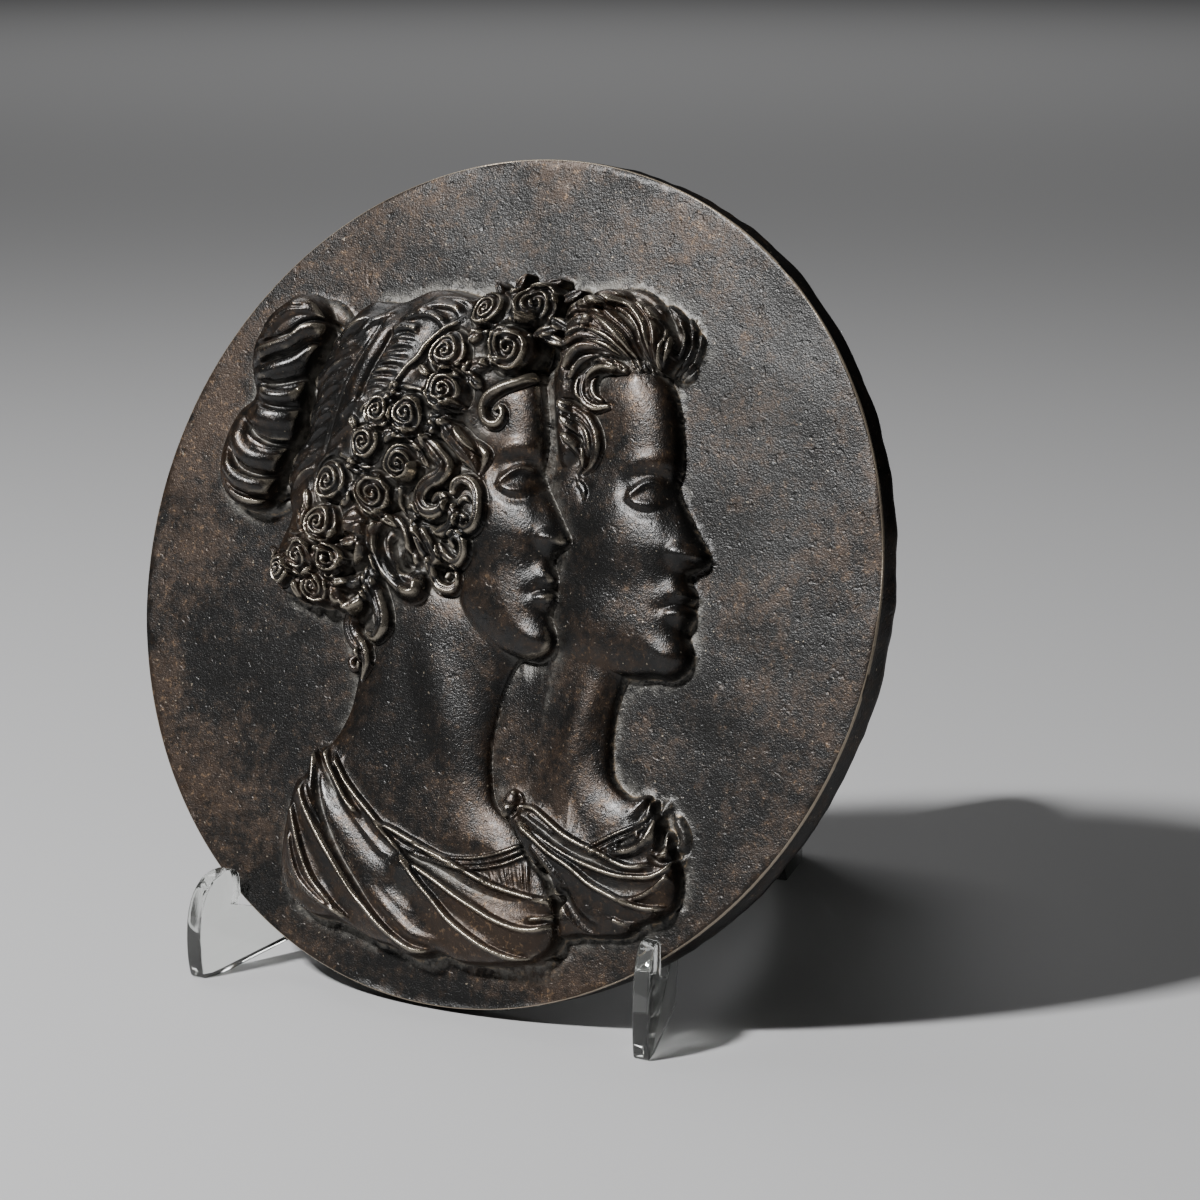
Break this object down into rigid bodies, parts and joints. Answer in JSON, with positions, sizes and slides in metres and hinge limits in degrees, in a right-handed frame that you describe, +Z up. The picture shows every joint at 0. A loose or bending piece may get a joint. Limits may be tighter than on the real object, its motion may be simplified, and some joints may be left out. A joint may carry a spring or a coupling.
{
  "type": "relief plaque on a display easel",
  "caption": "Round cast bronze plaque with two profile busts in relief, leaning back in the notches of a clear bent-sheet easel.",
  "frame": {"origin": "on the table, under the middle of the plaque and its easel", "axes": "+Z up, the relief faces -Y and leans back by 17 degrees, +X to the right as seen from the front"},
  "size_m": [0.1818, 0.1592, 0.173],
  "materials": {
    "patinated_bronze": "cast copper alloy with a dark brown patina, fine sand grain, worn high points and pale dust in the hollows",
    "clear_acrylic": "clear, polished, see-through sheet"
  },
  "bodies": {
    "root": {"plaque": "patinated_bronze", "display_easel": "clear_acrylic"}
  },
  "joints": []
}
